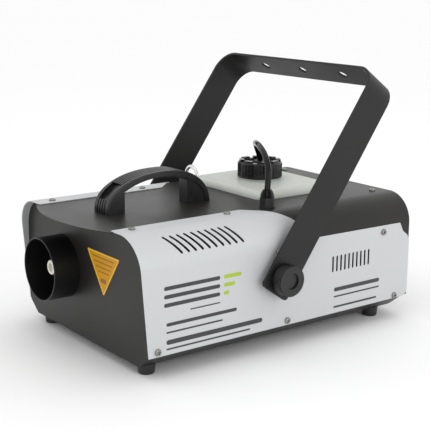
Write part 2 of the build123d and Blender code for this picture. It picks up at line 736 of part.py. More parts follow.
def make_fluid_lines():
    strainer_top = TANK_FLOOR + 16
    make_line(hose_route(), HOSE, "feed_hose")
    with BuildPart() as pickup:
        with BuildSketch(Plane.XY.offset(strainer_top)):
            with Locations((CAP_X, CAP_Y)):
                Circle(HOSE / 2)
                Circle(2.4, mode=Mode.SUBTRACT)
        extrude(amount=HOSE_START - strainer_top)
    save(pickup, "pickup_tube")
    with BuildPart() as strainer:
        with BuildSketch(Plane.XY.offset(strainer_top)):
            with Locations((CAP_X, CAP_Y)):
                Circle(9)
        extrude(amount=-12)
        fillet(strainer.edges(), 1.5)
    save(strainer, "pickup_strainer")
    pump_in = FRONT + PUMP_FRONT + 86
    make_line([(BOOT_X, BOOT_Y, BOOT_TOP), (BOOT_X, BOOT_Y, 140), (BOOT_X - 4, BOOT_Y - 4, 100),
               (BOOT_X - 16, BOOT_Y - 10, 66), (PUMP_X, BOOT_Y - 24, PUMP_Z),
               (PUMP_X, pump_in, PUMP_Z)], HOSE, "suction_line", 4.0)
    pump_out = FRONT + PUMP_FRONT - 6
    heater_back = FRONT + HEATER_FRONT + HEATER_LENGTH
    make_line([(PUMP_X, pump_out, PUMP_Z), (PUMP_X, pump_out - 20, PUMP_Z),
               (PUMP_X - 24, pump_out - 32, PUMP_Z + 10), (PUMP_X - 44, pump_out - 18, PUMP_Z + 26),
               (PUMP_X - 50, pump_out + 14, PUMP_Z + 44), (PUMP_X - 52, pump_out + 60, PUMP_Z + 52),
               (PUMP_X - 52, heater_back - 40, PUMP_Z + 54), (PUMP_X - 54, heater_back + 2, PUMP_Z + 54),
               (PUMP_X - 68, heater_back + 26, PUMP_Z + 54), (PUMP_X - 89, heater_back + 30, PUMP_Z + 54),
               (NOZZLE_X - 14, heater_back + 16, NOZZLE_Z + 14), (NOZZLE_X - 14, heater_back - 3, NOZZLE_Z + 14)],
              6.0, "pressure_line", 3.0)


# ---- tank and cap ----
def tank_volume(inset):
    """The blow-moulded tank's outer shape, or its inside when inset is the wall."""
    width = TANK_RIGHT - TANK_LEFT - 2 * inset
    depth = TANK_REAR - TANK_FRONT - 2 * inset
    middle = ((TANK_LEFT + TANK_RIGHT) / 2, (TANK_FRONT + TANK_REAR) / 2)
    with BuildPart(mode=Mode.PRIVATE) as tank:
        with BuildSketch(Plane.XY.offset(TANK_FLOOR + inset)):
            with Locations(middle):
                RectangleRounded(width, depth, 14 - inset)
        extrude(amount=TANK_TOP + 20 - TANK_FLOOR)
        with Locations((middle[0], middle[1], TANK_TOP - inset - CROWN_RADIUS)):
            Sphere(CROWN_RADIUS, rotation=(90, 0, 0), mode=Mode.INTERSECT)
        top = tank.faces().sort_by(Axis.Z)[-1]
        fillet(top.edges(), 9 - inset)
        bottom = tank.faces().sort_by(Axis.Z)[0]
        fillet(bottom.edges(), 6 - inset)
    return tank.part


def make_tank():
    outer = tank_volume(0)
    inner = tank_volume(TANK_WALL)
    with BuildPart() as tank:
        add(outer)
        add(inner, mode=Mode.SUBTRACT)
        with BuildSketch(Plane.XY.offset(TANK_TOP - 20)):
            with Locations((CAP_X, CAP_Y)):
                Circle(NECK_RADIUS - 3)
        extrude(amount=60, mode=Mode.SUBTRACT)
    save(tank, "fluid_tank")
    with BuildPart() as neck:
        with BuildSketch(Plane.XY.offset(TANK_TOP)):
            with Locations((CAP_X, CAP_Y)):
                Circle(NECK_RADIUS + 4.5)
        extrude(amount=CAP_BASE - CLEAR - TANK_TOP)
        with BuildSketch(Plane.XY.offset(TANK_TOP)):
            with Locations((CAP_X, CAP_Y)):
                Circle(NECK_RADIUS)
        extrude(amount=CAP_TOP - 6 - TANK_TOP)
        with BuildSketch(Plane.XY.offset(TANK_TOP)):
            with Locations((CAP_X, CAP_Y)):
                Circle(NECK_RADIUS - 3)
        extrude(amount=CAP_TOP - TANK_TOP, mode=Mode.SUBTRACT)
    save(neck, "tank_neck")


def make_cap():
    radius = 28.6
    inner = NECK_RADIUS + CLEAR + 0.25
    with BuildPart() as cap:
        with BuildSketch(Plane.XY.offset(CAP_BASE)):
            with Locations((CAP_X, CAP_Y)):
                Circle(radius)
        extrude(amount=CAP_TOP - CAP_BASE)
        fillet(cap.edges().group_by(Axis.Z)[-1], 1.6)
        with BuildSketch(Plane.XY.offset(CAP_BASE)):
            with Locations((CAP_X, CAP_Y)):
                Circle(radius + 0.9)
        extrude(amount=1.8)
        # grip ribs round the side
        with BuildSketch(Plane.XY.offset(CAP_BASE + 1)):
            with Locations((CAP_X, CAP_Y)):
                with PolarLocations(radius, 40):
                    Circle(0.75)
        extrude(amount=CAP_TOP - CAP_BASE - 3.5)
        # castellated rim
        with BuildSketch(Plane.XY.offset(CAP_TOP - 0.5)):
            with Locations((CAP_X, CAP_Y)):
                for index in range(8):
                    start = 45 * index
                    with BuildLine():
                        outer = CenterArc((CAP_X, CAP_Y), radius - 1.4, start, 27)
                        inner_arc = CenterArc((CAP_X, CAP_Y), radius - 7.4, start, 27)
                        Line(outer @ 0, inner_arc @ 0)
                        Line(outer @ 1, inner_arc @ 1)
                    make_face()
        extrude(amount=2.9)
        with BuildSketch(Plane.XY.offset(CAP_BASE)):
            with Locations((CAP_X, CAP_Y)):
                Circle(inner)
        extrude(amount=CAP_TOP - 3.6 - CAP_BASE, mode=Mode.SUBTRACT)
        with BuildSketch(Plane.XY.offset(CAP_TOP - 2)):
            with Locations((CAP_X, CAP_Y)):
                Circle(radius - 8.2)
        extrude(amount=10, mode=Mode.SUBTRACT)
        with BuildSketch(Plane.XY.offset(CAP_BASE)):
            with Locations((CAP_X, CAP_Y)):
                Circle(6.0)
        extrude(amount=40, mode=Mode.SUBTRACT)
    save(cap, "tank_cap")
    with BuildPart() as grommet:
        with BuildSketch(Plane.XY.offset(CAP_TOP - 2)):
            with Locations((CAP_X, CAP_Y)):
                Circle(8.5)
        extrude(amount=2.6)
        with BuildSketch(Plane.XY.offset(CAP_TOP - 3.6)):
            with Locations((CAP_X, CAP_Y)):
                Circle(6.0)
        extrude(amount=1.6)
        fillet(grommet.edges().group_by(Axis.Z)[-1], 1.2)
        with BuildSketch(Plane.XY.offset(CAP_TOP - 3.6)):
            with Locations((CAP_X, CAP_Y)):
                Circle(HOSE / 2 + CLEAR)
        extrude(amount=10, mode=Mode.SUBTRACT)
    save(grommet, "cap_grommet")


def make_boot():
    """The gland that the hose drops into: a hexagonal body under a round dome nut."""
    bore = HOSE / 2 + 0.1
    body_top = COVER_TOP + 12.5
    with BuildPart() as boot:
        with BuildSketch(Plane.XY.offset(COVER_TOP)):
            with Locations((BOOT_X, BOOT_Y)):
                Circle(9.6)
        extrude(amount=1.8)
        with BuildSketch(Plane.XY.offset(COVER_TOP)):
            with Locations((BOOT_X, BOOT_Y)):
                RegularPolygon(9.2, 6, rotation=8)
        extrude(amount=body_top - COVER_TOP)
        with BuildSketch(Plane(origin=(BOOT_X, BOOT_Y, body_top), x_dir=(1, 0, 0), z_dir=(0, -1, 0))) as dome:
            with BuildLine():
                Polyline((0, BOOT_TOP - body_top), (0, 0), (8.2, 0), (8.2, 2.6))
                Spline((8.2, 2.6), (7.2, 6.2), (5.0, BOOT_TOP - body_top))
                Line((5.0, BOOT_TOP - body_top), (0, BOOT_TOP - body_top))
            make_face()
        revolve(dome.sketch, axis=Axis((BOOT_X, BOOT_Y, 0), (0, 0, 1)))
        with BuildSketch(Plane.XY.offset(COVER_TOP)):
            with Locations((BOOT_X, BOOT_Y)):
                Circle(bore)
        extrude(amount=BOOT_TOP - COVER_TOP, mode=Mode.SUBTRACT)
    save(boot, "hose_boot")


# ---- safety eye ----
def make_eye():
    ring = 11.6
    wire = 2.3
    centre_z = COVER_TOP + 4.0 + ring + wire - 0.6
    with BuildPart() as eye:
        with BuildSketch(Plane(origin=(EYE_X, EYE_Y, centre_z), x_dir=(0, 1, 0), z_dir=(1, 0, 0))):
            with Locations((0, ring)):
                Circle(wire)
        revolve(axis=Axis((EYE_X, EYE_Y, centre_z), (0, 1, 0)))
        with BuildSketch(Plane.XY.offset(COVER_TOP)):
            with Locations((EYE_X, EYE_Y)):
                Circle(6.5)
        extrude(amount=4.4)
        with BuildSketch(Plane.XY.offset(COVER_TOP)):
            with Locations((EYE_X, EYE_Y)):
                Circle(3.0)
        extrude(amount=-12)
        with BuildSketch(Plane.XY.offset(COVER_TOP - SHEET)):
            with Locations((EYE_X, EYE_Y)):
                RegularPolygon(5.0, 6, major_radius=False)
                Circle(3.1, mode=Mode.SUBTRACT)
        extrude(amount=-5)
    save(eye, "safety_eye")


# ---- tilting bracket ----
def make_bracket():
    tilt = radians(BRACKET_TILT)
    flat = Plane(origin=(0, PIVOT_Y, PIVOT_Z), x_dir=(1, 0, 0), z_dir=(0, -cos(tilt), sin(tilt)))
    half = BRACKET_HALF
    inner = half - BRACKET_PLATE
    with BuildPart() as bracket:
        with BuildSketch(flat):
            arch(half, BRACKET_REACH, BRACKET_BEND, -BRACKET_END)
            arch(inner, BRACKET_REACH - BRACKET_PLATE, BRACKET_BEND - BRACKET_PLATE, -60, Mode.SUBTRACT)
        extrude(amount=BRACKET_WIDTH / 2, both=True)
        ends = bracket.edges().filter_by(Axis.X).filter_by(
            lambda e: abs(e.length - BRACKET_PLATE) < 0.1
        )
        fillet(ends, 5)
        across_leg = Plane(origin=(0, PIVOT_Y, PIVOT_Z), x_dir=(0, 1, 0), z_dir=(1, 0, 0))
        with BuildSketch(across_leg):
            Circle(STUD / 2 + 0.3)
        extrude(amount=160, both=True, mode=Mode.SUBTRACT)
        top_bar = Plane(
            origin=(0, PIVOT_Y + BRACKET_REACH * sin(tilt), PIVOT_Z + BRACKET_REACH * cos(tilt)),
            x_dir=(1, 0, 0),
            z_dir=(0, sin(tilt), cos(tilt)),
        )
        with BuildSketch(top_bar):
            with GridLocations(HOLE_PITCH, 1, 3, 1):
                Circle(BRACKET_HOLE / 2)
        extrude(amount=8, both=True, mode=Mode.SUBTRACT)
    save(bracket, "tilt_bracket")


def leg_plane(x, sign):
    """Plane at the pivot, square to the width; extrude goes outwards."""
    return Plane(origin=(sign * x, PIVOT_Y, PIVOT_Z), x_dir=(0, 1, 0), z_dir=(sign, 0, 0))


def make_knob(sign, name):
    start = BRACKET_HALF + WASHER + 2 * CLEAR
    with BuildPart() as knob:
        with BuildSketch(leg_plane(start, sign)):
            Circle(14)
        extrude(amount=2.2)
        with BuildSketch(leg_plane(start + 2.2, sign)):
            Circle(KNOB_RADIUS)
            with PolarLocations(KNOB_RADIUS + 0.35, 60):
                Circle(0.72, mode=Mode.SUBTRACT)
        extrude(amount=KNOB_FACE - start - 2.2)
        with BuildSketch(leg_plane(KNOB_FACE, sign)):
            Circle(KNOB_RADIUS + 2)
            Circle(KNOB_RADIUS - 0.7, mode=Mode.SUBTRACT)
        extrude(amount=-1.0, mode=Mode.SUBTRACT)
        with BuildSketch(leg_plane(KNOB_FACE, sign)):
            Circle(9.5)
        extrude(amount=-2.4, mode=Mode.SUBTRACT)
        with BuildSketch(leg_plane(start, sign)):
            Circle(STUD / 2)
        extrude(amount=9, mode=Mode.SUBTRACT)
    save(knob, f"{name}_knob")
    with BuildPart() as stud:
        with BuildSketch(leg_plane(126, sign)):
            Circle(STUD / 2)
        extrude(amount=start + 9 - 126)
        chamfer(stud.edges().sort_by(Axis.X)[0 if sign > 0 else -1], 0.8)
    save(stud, f"{name}_knob_stud")

def make_pivot_hardware():
    """Washers outside the legs, spacers between legs and panels, nuts inside the cover."""
    with BuildPart() as washers:
        for sign in (-1, 1):
            with BuildSketch(leg_plane(BRACKET_HALF + CLEAR, sign)):
                Circle(12)
                Circle(STUD / 2 + CLEAR, mode=Mode.SUBTRACT)
            extrude(amount=WASHER)
    save(washers, "knob_washers")
    with BuildPart() as spacers:
        for sign in (-1, 1):
            with BuildSketch(leg_plane(HALF, sign)):
                Circle(13)
                Circle(STUD / 2 + 0.5, mode=Mode.SUBTRACT)
            extrude(amount=BRACKET_HALF - BRACKET_PLATE - CLEAR - HALF)
    save(spacers, "pivot_spacers")
    with BuildPart() as nuts:
        for sign in (-1, 1):
            with BuildSketch(leg_plane(INNER_HALF + GAP, sign)):
                RegularPolygon(6.5, 6, major_radius=False)
                Circle(STUD / 2 + CLEAR, mode=Mode.SUBTRACT)
            extrude(amount=-6.5)
    save(nuts, "pivot_nuts")


# ---- rear controls ----
def rear_plane(spot, depth):
    """Plane on the rear panel at (x, z), depth behind the panel's outer face; extrude goes to the rear."""
    return Plane(origin=(spot[0], REAR_PANEL + SHEET + depth, spot[1]), x_dir=(-1, 0, 0), z_dir=(0, 1, 0))


def make_power_inlet():
    drawer = (IEC[0], IEC[1] - 17.5)
    with BuildPart() as inlet:
        with BuildSketch(rear_plane(IEC, 0)):
            RectangleRounded(32, 52, 3)
        extrude(amount=2.5)
        with BuildSketch(rear_plane(IEC, -20)):
            Rectangle(28, 47)
        extrude(amount=20)
        # socket
        with BuildSketch(rear_plane((IEC[0], IEC[1] + 6.5), 2.5)):
            Rectangle(24.4, 16.6)
        extrude(amount=-17, mode=Mode.SUBTRACT)
        # pocket of the fuse drawer
        with BuildSketch(rear_plane(drawer, 2.5)):
            Rectangle(25, 9)
        extrude(amount=-19, mode=Mode.SUBTRACT)
        with BuildSketch(rear_plane((IEC[0], IEC[1] + 6.5), -15)):
            with Locations((-7, 2), (7, 2), (0, -3)):
                Rectangle(2, 4)
        extrude(amount=13)
    save(inlet, "power_inlet")
    with BuildPart() as tray:
        with BuildSketch(rear_plane(drawer, -15)):
            Rectangle(24.2, 8.2)
        extrude(amount=18.2)
        with BuildSketch(rear_plane(drawer, -14)):
            Rectangle(21, 10)
        extrude(amount=11, mode=Mode.SUBTRACT)
        with BuildSketch(rear_plane(drawer, 3.2)):
            Rectangle(10, 3)
        extrude(amount=0.8)
        with BuildSketch(Plane(origin=(drawer[0] - 10, REAR_PANEL + SHEET - 8.5, drawer[1]), x_dir=(0, 1, 0),
                               z_dir=(1, 0, 0))):
            Circle(2.5)
        extrude(amount=20)
    save(tray, "fuse_drawer")


def make_switch():
    with BuildPart() as frame:
        with BuildSketch(rear_plane(SWITCH, 0)):
            Rectangle(25, 16)
            Rectangle(19, 10.4, mode=Mode.SUBTRACT)
        extrude(amount=2)
        with BuildSketch(rear_plane(SWITCH, -16)):
            Rectangle(22, 13)
            Rectangle(19, 10.4, mode=Mode.SUBTRACT)
        extrude(amount=16)
        with BuildSketch(rear_plane(SWITCH, -18)):
            Rectangle(22, 13)
        extrude(amount=2)
    save(frame, "switch_frame")
    # the rocker stands in its off position, turned about the upright axis of its pivot
    off = radians(-7)
    pivot = Plane(
        origin=(SWITCH[0], REAR_PANEL + SHEET - 1, SWITCH[1] - 4.8),
        x_dir=(cos(off), sin(off), 0),
        z_dir=(0, 0, 1),
    )
    with BuildPart() as rocker:
        with BuildSketch(pivot):
            with BuildLine():
                Polyline((-8.3, -1.5), (0, -4), (8.3, -1.5), (8.3, 5.2))
                ThreePointArc((8.3, 5.2), (0, 3.2), (-8.3, 5.2))
                Line((-8.3, 5.2), (-8.3, -1.5))
            make_face()
        extrude(amount=9.6)
    save(rocker, "power_rocker")


def make_xlr(spot, name, female):
    with BuildPart() as socket:
        with BuildSketch(rear_plane(spot, 0)):
            RectangleRounded(26, 31, 3)
            Circle(9.5, mode=Mode.SUBTRACT)
            with GridLocations(19, 24, 2, 2):
                Circle(1.6, mode=Mode.SUBTRACT)
        extrude(amount=2.2)
        with BuildSketch(rear_plane(spot, -18)):
            Circle(11.6)
        extrude(amount=18)
        with BuildSketch(rear_plane(spot, -14)):
            Circle(9.5)
            if female:
                Circle(7.2, mode=Mode.SUBTRACT)
        extrude(amount=17, mode=Mode.SUBTRACT)
        with BuildSketch(rear_plane(spot, -14)):
            with Locations((-3.8, 2.2), (3.8, 2.2), (0, -4.0)):
                Circle(1.2)
        if female:
            extrude(amount=14, mode=Mode.SUBTRACT)
        else:
            extrude(amount=12)
    save(socket, name)


def make_display():
    with BuildPart() as bezel:
        with BuildSketch(rear_plane(DISPLAY, 0)):
            RectangleRounded(96, 56, 3)
            with Locations((0, 8)):
                Rectangle(50, 18, mode=Mode.SUBTRACT)
            with Locations((0, -BUTTON_DROP)):
                with GridLocations(BUTTON_PITCH, 1, 4, 1):
                    Circle(4.2, mode=Mode.SUBTRACT)
            with Locations((0, -2)):
                with GridLocations(86, 46, 2, 2):
                    Circle(1.7, mode=Mode.SUBTRACT)
        extrude(amount=1.6)
    save(bezel, "control_bezel")
    with BuildPart() as window:
        with BuildSketch(rear_plane((DISPLAY[0], DISPLAY[1] + 8), -SHEET)):
            Rectangle(49.6, 17.6)
        extrude(amount=SHEET + 1.0)
    save(window, "display_window")
    with BuildPart() as board:
        with BuildSketch(rear_plane((DISPLAY[0], DISPLAY[1] + 8), -9)):
            Rectangle(66, 24)
        extrude(amount=9 - SHEET - 0.2)
        with BuildSketch(rear_plane((DISPLAY[0], DISPLAY[1] - BUTTON_DROP), -12.3)):
            with GridLocations(BUTTON_PITCH, 1, 4, 1):
                Rectangle(6, 6)
        extrude(amount=3.9)
        with BuildSketch(rear_plane((DISPLAY[0], DISPLAY[1] - 2), -14)):
            Rectangle(94, 54)
            with GridLocations(86, 46, 2, 2):
                Circle(1.7, mode=Mode.SUBTRACT)
        extrude(amount=1.6)
    save(board, "control_board")
    with BuildPart() as posts:
        with BuildSketch(rear_plane((DISPLAY[0], DISPLAY[1] - 2), -12.4)):
            with GridLocations(86, 46, 2, 2):
                RegularPolygon(3, 6)
                Circle(1.6, mode=Mode.SUBTRACT)
        extrude(amount=12.4 - SHEET)
    save(posts, "board_standoffs")
    tiny = screw_solid(2.8, 1.6, 2.8, 9.0)
    with BuildPart() as screws:
        for dx in (-43, 43):
            for dz in (-23, 23):
                spot = rear_plane((DISPLAY[0] + dx, DISPLAY[1] - 2 + dz), 1.6)
                with Locations(Location(spot) * Rotation(0, 0, 30 + dx / 2)):
                    add(tiny)
    save(screws, "bezel_screws")
    for index, name in enumerate(("menu", "down", "up", "enter")):
        x = DISPLAY[0] - 1.5 * BUTTON_PITCH + index * BUTTON_PITCH
        with BuildPart() as button:
            with BuildSketch(rear_plane((x, DISPLAY[1] - BUTTON_DROP), -6.0)):
                Circle(3.8)
            extrude(amount=9.4)
            fillet(button.edges().group_by(AXIS_Y)[-1], 0.7)
        save(button, f"{name}_button")


def make_power_board():
    middle = (86, FRONT + 290)
    with BuildPart() as board:
        with BuildSketch(Plane.XY.offset(24)):
            with Locations(middle):
                Rectangle(60, 110)
        extrude(amount=1.6)
        with BuildSketch(Plane.XY.offset(FLOOR + SHEET)):
            with Locations(middle):
                with GridLocations(50, 100, 2, 2):
                    Circle(3)
        extrude(amount=24 - FLOOR - SHEET)
        with BuildSketch(Plane.XY.offset(25.6)):
            with Locations((72, FRONT + 262), (98, FRONT + 262)):
                RectangleRounded(16, 24, 1)
        extrude(amount=18)
        with BuildSketch(Plane.XY.offset(25.6)):
            with Locations((86, FRONT + 328)):
                Rectangle(46, 14)
        extrude(amount=14)
    save(board, "power_board")


# ---- label ----
def make_label():
    with BuildPart() as plate:
        with BuildSketch(across(FRONT - 0.4)):
            with BuildLine():
                Polyline((-10.1, 126), (-80.8, 126), (-45.4, 75.6), close=True)
            make_face()
            fillet(vertices(), 1.5)
        extrude(amount=0.4)
    save(plate, "label_plate")


make_top_cover()
make_side_panel(-1, "side_panel_left")
make_side_panel(1, "side_panel_right")
make_front_panel()
make_base_tray()
make_rear_panel()
make_screws()
make_feet()
make_handle()
make_nozzle()
make_heater()
make_pump()
make_fluid_lines()
make_tank()
make_cap()
make_boot()
make_eye()
make_bracket()
make_knob(-1, "left")
make_knob(1, "right")
make_pivot_hardware()
make_power_inlet()
make_switch()
make_xlr(XLR_IN, "signal_in_socket", False)
make_xlr(XLR_OUT, "signal_out_socket", True)
make_display()
make_power_board()
make_label()
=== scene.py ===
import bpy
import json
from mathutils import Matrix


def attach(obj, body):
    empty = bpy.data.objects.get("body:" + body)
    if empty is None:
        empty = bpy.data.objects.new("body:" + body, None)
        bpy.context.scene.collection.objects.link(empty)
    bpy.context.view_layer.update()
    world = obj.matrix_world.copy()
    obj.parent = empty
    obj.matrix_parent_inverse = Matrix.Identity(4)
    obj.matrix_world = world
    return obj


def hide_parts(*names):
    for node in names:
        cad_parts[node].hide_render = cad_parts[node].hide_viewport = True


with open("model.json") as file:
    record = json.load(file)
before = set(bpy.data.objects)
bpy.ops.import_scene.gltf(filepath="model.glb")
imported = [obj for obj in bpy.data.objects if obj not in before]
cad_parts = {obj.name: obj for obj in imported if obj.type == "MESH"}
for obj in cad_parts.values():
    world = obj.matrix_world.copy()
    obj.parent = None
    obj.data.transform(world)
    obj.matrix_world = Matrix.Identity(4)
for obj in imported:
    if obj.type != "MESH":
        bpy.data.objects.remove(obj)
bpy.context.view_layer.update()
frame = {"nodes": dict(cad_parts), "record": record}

import json
from math import cos, radians, sin

import bmesh
import bpy
from mathutils import Matrix, Vector

NODES = frame["nodes"]
SCENE = bpy.context.scene
MM = 0.001

# ---- camera: the photograph's viewing angle ----
CAMERA_PLACE = Vector((1.0329, -0.77105, 0.4375))
CAMERA_AZIMUTH = radians(52.9665)
CAMERA_ELEVATION = radians(13.1135)
CAMERA_ROLL = radians(0.4312)
LENS = 88.01

back = Vector((
    sin(CAMERA_AZIMUTH) * cos(CAMERA_ELEVATION),
    -cos(CAMERA_AZIMUTH) * cos(CAMERA_ELEVATION),
    sin(CAMERA_ELEVATION),
))
right = Vector((0, 0, 1)).cross(back).normalized()
up = back.cross(right)
rolled_right = right * cos(CAMERA_ROLL) + up * sin(CAMERA_ROLL)
rolled_up = up * cos(CAMERA_ROLL) - right * sin(CAMERA_ROLL)
camera = bpy.data.objects.new("camera", bpy.data.cameras.new("camera"))
camera.data.lens = LENS
camera.data.clip_end = 100
camera.matrix_world = (
    Matrix.Translation(CAMERA_PLACE) @ Matrix((rolled_right, rolled_up, back)).transposed().to_4x4()
)
SCENE.collection.objects.link(camera)
SCENE.camera = camera


# ---- materials ----
class Finish:
    """A Principled material whose patterns are laid out in metres on the object's own coordinates."""

    def __init__(self, name, colour, roughness, **values):
        self.material = bpy.data.materials.new(name)
        self.material.use_nodes = True
        self.tree = self.material.node_tree
        self.shader = self.tree.nodes["Principled BSDF"]
        self.shader.inputs["Base Color"].default_value = (*colour, 1)
        self.shader.inputs["Roughness"].default_value = roughness
        for socket, value in values.items():
            self.shader.inputs[socket.replace("_", " ")].default_value = value
        self.place = self.node("ShaderNodeTexCoord").outputs["Object"]
        self.normal = None

    def node(self, kind, **settings):
        made = self.tree.nodes.new(kind)
        for setting, value in settings.items():
            setattr(made, setting, value)
        return made

    def link(self, output, target):
        self.tree.links.new(output, target)

    def stretched(self, scale):
        """The place, with its axes scaled one by one."""
        mapping = self.node("ShaderNodeMapping")
        mapping.inputs["Scale"].default_value = scale
        self.link(self.place, mapping.inputs["Vector"])
        return mapping.outputs["Vector"]

    def noise(self, per_metre, detail, stretch=None):
        """Noise between 0 and 1, per_metre lumps to a metre."""
        made = self.node("ShaderNodeTexNoise")
        made.inputs["Scale"].default_value = per_metre
        made.inputs["Detail"].default_value = detail
        place = self.stretched(stretch) if stretch else self.place
        self.link(place, made.inputs["Vector"])
        return made.outputs["Fac"]

    def spread(self, value, low, high, to_low=0.0, to_high=1.0):
        made = self.node("ShaderNodeMapRange")
        made.inputs["From Min"].default_value = low
        made.inputs["From Max"].default_value = high
        made.inputs["To Min"].default_value = to_low
        made.inputs["To Max"].default_value = to_high
        self.link(value, made.inputs["Value"])
        return made.outputs["Result"]

    def tint(self, factor, colour):
        """Mixes the base colour towards another one by a factor."""
        base = self.shader.inputs["Base Color"]
        mix = self.node("ShaderNodeMix", data_type="RGBA")
        if base.is_linked:
            self.link(base.links[0].from_socket, mix.inputs[6])
        else:
            mix.inputs[6].default_value = base.default_value
        mix.inputs[7].default_value = (*colour, 1)
        self.link(factor, mix.inputs["Factor"])
        self.link(mix.outputs[2], base)
        return self

    def sheen_spread(self, factor, low, high):
        """Lets the roughness wander between two values."""
        self.link(self.spread(factor, 0.3, 0.7, low, high), self.shader.inputs["Roughness"])
        return self

    def relief(self, height, depth, strength=1.0):
        bump = self.node("ShaderNodeBump")
        bump.inputs["Distance"].default_value = depth
        bump.inputs["Strength"].default_value = strength
        self.link(height, bump.inputs["Height"])
        if self.normal is not None:
            self.link(self.normal, bump.inputs["Normal"])
        self.normal = bump.outputs["Normal"]
        self.link(self.normal, self.shader.inputs["Normal"])
        return self

    def rounded(self, radius):
        """Rounds sharp edges in the shading, so that they catch the light."""
        bevel = self.node("ShaderNodeBevel", samples=4)
        bevel.inputs["Radius"].default_value = radius
        self.normal = bevel.outputs["Normal"]
        self.link(self.normal, self.shader.inputs["Normal"])
        return self

    def edge_wear_and_highlight(self, radius, colour, strength=1.0):
        """Lightens sharp edges: partly paint worn thin there, partly a painted highlight where edges catch
        the light.
        """
        bevel = self.node("ShaderNodeBevel", samples=4)
        bevel.inputs["Radius"].default_value = radius
        flat = self.node("ShaderNodeNewGeometry").outputs["Normal"]
        dot = self.node("ShaderNodeVectorMath", operation="DOT_PRODUCT")
        self.link(bevel.outputs["Normal"], dot.inputs[0])
        self.link(flat, dot.inputs[1])
        # edge mask: where the colour is lightened, as wear and as a painted edge highlight
        edge = self.spread(dot.outputs["Value"], 0.99, 0.80, 0.0, strength)
        return self.tint(edge, colour)


def powder_coat(name, colour, light, roughness):
    """Painted steel with a fine orange-peel relief."""
    made = Finish(name, colour, roughness, Specular_IOR_Level=0.32)
    made.rounded(0.0005)
    made.tint(made.spread(made.noise(7, 2), 0.35, 0.75, 0.0, 0.4), light)
    made.tint(made.spread(made.noise(900, 2), 0.55, 0.8, 0.0, 0.35), light)
    made.sheen_spread(made.noise(18, 2), roughness - 0.02, roughness + 0.03)
    made.relief(made.noise(1300, 1), 0.00008, 0.2)
    return made


charcoal = powder_coat("charcoal_powder_coat", (0.0115, 0.0108, 0.0095), (0.019, 0.018, 0.016), 0.38)
# lighter edges: rubbed paint and a painted edge highlight
charcoal.edge_wear_and_highlight(0.0005, (0.09, 0.09, 0.085), 0.5)

bracket_black = powder_coat("bracket_black_coat", (0.0105, 0.0098, 0.0096), (0.0165, 0.0155, 0.015), 0.48)
# lighter edges: rubbed paint and a painted edge highlight
bracket_black.edge_wear_and_highlight(0.0005, (0.07, 0.07, 0.068), 0.6)

shroud_black = powder_coat("shroud_black_coat", (0.0035, 0.0035, 0.0036), (0.006, 0.006, 0.006), 0.42)
# bright edges: a painted highlight along the rim, with rubbed paint
shroud_black.edge_wear_and_highlight(0.0006, (0.35, 0.35, 0.35), 0.9)

silver = Finish("silver_metallic_paint", (0.515, 0.528, 0.537), 0.50, Metallic=0.15, Specular_IOR_Level=0.3)
silver.rounded(0.0006)
silver.tint(silver.spread(silver.noise(5, 3), 0.3, 0.75, 0.0, 0.5), (0.548, 0.561, 0.570))
silver.tint(silver.spread(silver.noise(2600, 1), 0.58, 0.75, 0.0, 0.5), (0.80, 0.81, 0.82))
silver.tint(silver.spread(silver.noise(2100, 1), 0.35, 0.22, 0.0, 0.4), (0.42, 0.43, 0.44))
silver.sheen_spread(silver.noise(25, 2), 0.46, 0.55)
silver.relief(silver.noise(1500, 2), 0.00008, 0.25)
# near-white edges: rubbed paint and a painted edge highlight
silver.edge_wear_and_highlight(0.0007, (0.9, 0.9, 0.9), 0.8)


def moulded(name, colour, light, roughness, grain=1300, depth=0.00012):
    """Moulded plastic or rubber; grain is the relief's noise scale per metre."""
    made = Finish(name, colour, roughness)
    made.rounded(0.0004)
    made.tint(made.spread(made.noise(35, 4), 0.35, 0.7, 0.0, 0.5), light)
    made.sheen_spread(made.noise(140, 4), roughness - 0.06, roughness + 0.08)
    made.relief(made.noise(grain, 2), depth, 0.4)
    return made


black_plastic = moulded("black_plastic", (0.0040, 0.0040, 0.0038), (0.0070, 0.0070, 0.0067), 0.32)
cap_plastic = moulded("cap_plastic", (0.0028, 0.0028, 0.0027), (0.0050, 0.0050, 0.0048), 0.18, 500, 0.00004)
bezel_plastic = moulded("bezel_plastic", (0.016, 0.017, 0.018), (0.026, 0.027, 0.028), 0.42)
coil_plastic = moulded("coil_plastic", (0.10, 0.012, 0.010), (0.16, 0.02, 0.016), 0.4)
rocker_red = moulded("rocker_red", (0.42, 0.012, 0.010), (0.55, 0.03, 0.02), 0.28, 600, 0.00004)
rubber = moulded("rubber", (0.010, 0.0098, 0.0093), (0.018, 0.0175, 0.017), 0.45, 800, 0.0001)
button_rubber = moulded("button_rubber", (0.10, 0.10, 0.105), (0.16, 0.16, 0.165), 0.6, 900, 0.0001)

hose_black = Finish("hose_black", (0.0025, 0.0025, 0.0025), 0.14, Specular_IOR_Level=0.25)
hose_black.tint(hose_black.spread(hose_black.noise(60, 3), 0.4, 0.7, 0.0, 0.5), (0.005, 0.005, 0.005))
hose_black.sheen_spread(hose_black.noise(90, 2), 0.10, 0.22)
hose_black.relief(hose_black.noise(160, 2), 0.0001, 0.2)

tank_plastic = Finish(
    "tank_plastic", (0.60, 0.61, 0.565), 0.40,
    Subsurface_Weight=0.25, Subsurface_Scale=0.012, Specular_IOR_Level=0.4,
)
tank_plastic.rounded(0.0008)
tank_plastic.tint(tank_plastic.spread(tank_plastic.noise(22, 4), 0.35, 0.7, 0.0, 0.6), (0.62, 0.63, 0.59))
tank_plastic.tint(tank_plastic.spread(tank_plastic.noise(130, 3), 0.6, 0.8, 0.0, 0.3), (0.50, 0.51, 0.47))
tank_plastic.sheen_spread(tank_plastic.noise(90, 4), 0.36, 0.52)
tank_plastic.relief(tank_plastic.noise(160, 3), 0.0006, 0.25)

